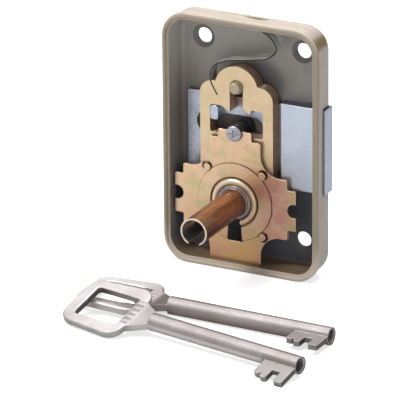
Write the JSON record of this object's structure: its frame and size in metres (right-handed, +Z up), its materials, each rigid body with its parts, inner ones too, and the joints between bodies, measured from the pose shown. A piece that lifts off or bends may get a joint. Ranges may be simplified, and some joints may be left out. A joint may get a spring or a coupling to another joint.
{
  "type": "lever lock",
  "caption": "Rim-mounted lever lock with its cover off: tray case, sliding bolt, stacked sprung levers, star keyhole plate with sprung key tube, and hollow-shank keys.",
  "frame": {"origin": "centre of the four fixing holes, on the case's back face", "axes": "+X the way the bolt is thrown, +Y out of the back of the case into the door, +Z up"},
  "size_m": [0.0984, 0.0994, 0.094],
  "materials": {
    "case_lacquer": "satin taupe-beige stove enamel",
    "lever_brass": "punched brass sheet, fine matt, browner on its sheared edges",
    "plate_gold": "yellow passivated zinc on steel, with a pink and green bloom",
    "bolt_zinc": "blue-bright zinc plate",
    "zinc_steel": "bright zinc plate",
    "stud_brass": "dull olive brass, turned",
    "tube_copper": "copper-brown drawn brass tube, oiled",
    "ring_steel": "bright spring steel",
    "spring_steel": "blued spring strip",
    "key_nickel": "satin nickel plate, tumbled"
  },
  "bodies": {
    "lock_body": {"case": "case_lacquer", "pillar": "spring_steel", "guide_stud": "stud_brass", "key_pin": "zinc_steel", "keyhole_plate": "plate_gold", "hub_collar": "plate_gold", "hub_stakes": "plate_gold", "plate_screw": "zinc_steel"},
    "bolt": {"bolt_tail": "bolt_zinc", "bolt_head": "bolt_zinc", "bolt_rivets": "bolt_zinc", "bolt_stump": "bolt_zinc"},
    "key_guide": {"key_tube": "tube_copper", "tube_ring": "ring_steel", "tube_spring": "ring_steel"},
    "far_key_body": {"far_key": "key_nickel"},
    "near_key_body": {"near_key": "key_nickel"},
    "lever_set_1": {"lever_1": "lever_brass", "lever_spring_1": "spring_steel"},
    "lever_set_2": {"lever_2": "lever_brass", "lever_spring_2": "spring_steel"},
    "lever_set_3": {"lever_3": "lever_brass", "lever_spring_3": "spring_steel"},
    "lever_set_4": {"lever_4": "lever_brass", "lever_spring_4": "spring_steel"},
    "lever_set_5": {"lever_5": "lever_brass", "lever_spring_5": "spring_steel"}
  },
  "joints": [
    {"name": "bolt_throw", "type": "slide", "parent": "lock_body", "child": "bolt", "axis": [1, 0, 0], "range_m": [0, 0.009]},
    {"name": "lever_1_lift", "type": "slide", "parent": "lock_body", "child": "lever_set_1", "axis": [0, 0, 1], "range_m": [0, 0.0045], "deforming": ["lever_spring_1"]},
    {"name": "lever_2_lift", "type": "slide", "parent": "lock_body", "child": "lever_set_2", "axis": [0, 0, 1], "range_m": [0, 0.0045], "deforming": ["lever_spring_2"]},
    {"name": "lever_3_lift", "type": "slide", "parent": "lock_body", "child": "lever_set_3", "axis": [0, 0, 1], "range_m": [0, 0.0045], "deforming": ["lever_spring_3"]},
    {"name": "lever_4_lift", "type": "slide", "parent": "lock_body", "child": "lever_set_4", "axis": [0, 0, 1], "range_m": [0, 0.0045], "deforming": ["lever_spring_4"]},
    {"name": "lever_5_lift", "type": "slide", "parent": "lock_body", "child": "lever_set_5", "axis": [0, 0, 1], "range_m": [0, 0.0045], "deforming": ["lever_spring_5"]},
    {"name": "tube_press", "type": "slide", "parent": "lock_body", "child": "key_guide", "axis": [0, 1, 0], "range_m": [0, 0.002], "stiffness_N_per_m": 400, "springref_m": -0.004, "deforming": ["tube_spring"]},
    {"name": "far_key_lift", "type": "slide", "parent": "lock_body", "child": "far_key_body", "axis": [0, 0, 1], "range_m": [0, 0.03]},
    {"name": "near_key_lift", "type": "slide", "parent": "far_key_body", "child": "near_key_body", "axis": [0, 0, 1], "range_m": [0, 0.03]}
  ],
  "couplings": [
    {"joint": "lever_1_lift", "follows": "bolt_throw", "ratio": 0.5},
    {"joint": "lever_2_lift", "follows": "bolt_throw", "ratio": 0.5},
    {"joint": "lever_3_lift", "follows": "bolt_throw", "ratio": 0.5},
    {"joint": "lever_4_lift", "follows": "bolt_throw", "ratio": 0.5},
    {"joint": "lever_5_lift", "follows": "bolt_throw", "ratio": 0.5}
  ]
}
